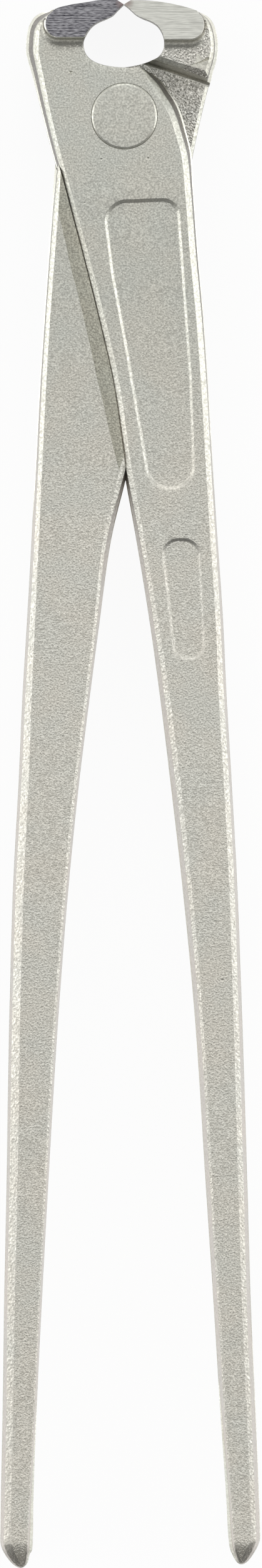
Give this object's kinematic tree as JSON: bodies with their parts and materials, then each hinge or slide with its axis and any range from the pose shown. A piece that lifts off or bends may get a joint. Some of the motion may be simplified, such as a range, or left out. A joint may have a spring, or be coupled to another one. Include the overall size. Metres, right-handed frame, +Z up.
{
  "type": "rebar tying pliers",
  "caption": "Long-handled end-cutting pliers for tying wire: crossed forged levers on a rivet, ground jaws around a small mouth, slim tapering handles.",
  "frame": {"origin": "centre of the closed tool's box in X and Y, on the surface that it lies on, at the ground undersides of the jaws", "axes": "+Y along the tool towards the jaws, +X towards the handle of the front lever, +Z up through the tool's thickness"},
  "size_m": [0.05, 0.3, 0.02],
  "materials": {
    "zinc_plated_forging": "zinc-plated drop forging, finely blasted, with ground jaw sides",
    "zinc_plated_rivet": "zinc-plated upset rivet head, finely blasted"
  },
  "bodies": {
    "rear_lever_body": {"rear_lever": "zinc_plated_forging", "rivet": "zinc_plated_rivet"},
    "front_lever_body": {"front_lever": "zinc_plated_forging"}
  },
  "joints": [
    {"name": "jaw_pivot", "type": "hinge", "parent": "rear_lever_body", "child": "front_lever_body", "pos_m": [0, 0.1279, 0.01], "axis": [0, 0, 1], "range_deg": [0, 45]}
  ]
}
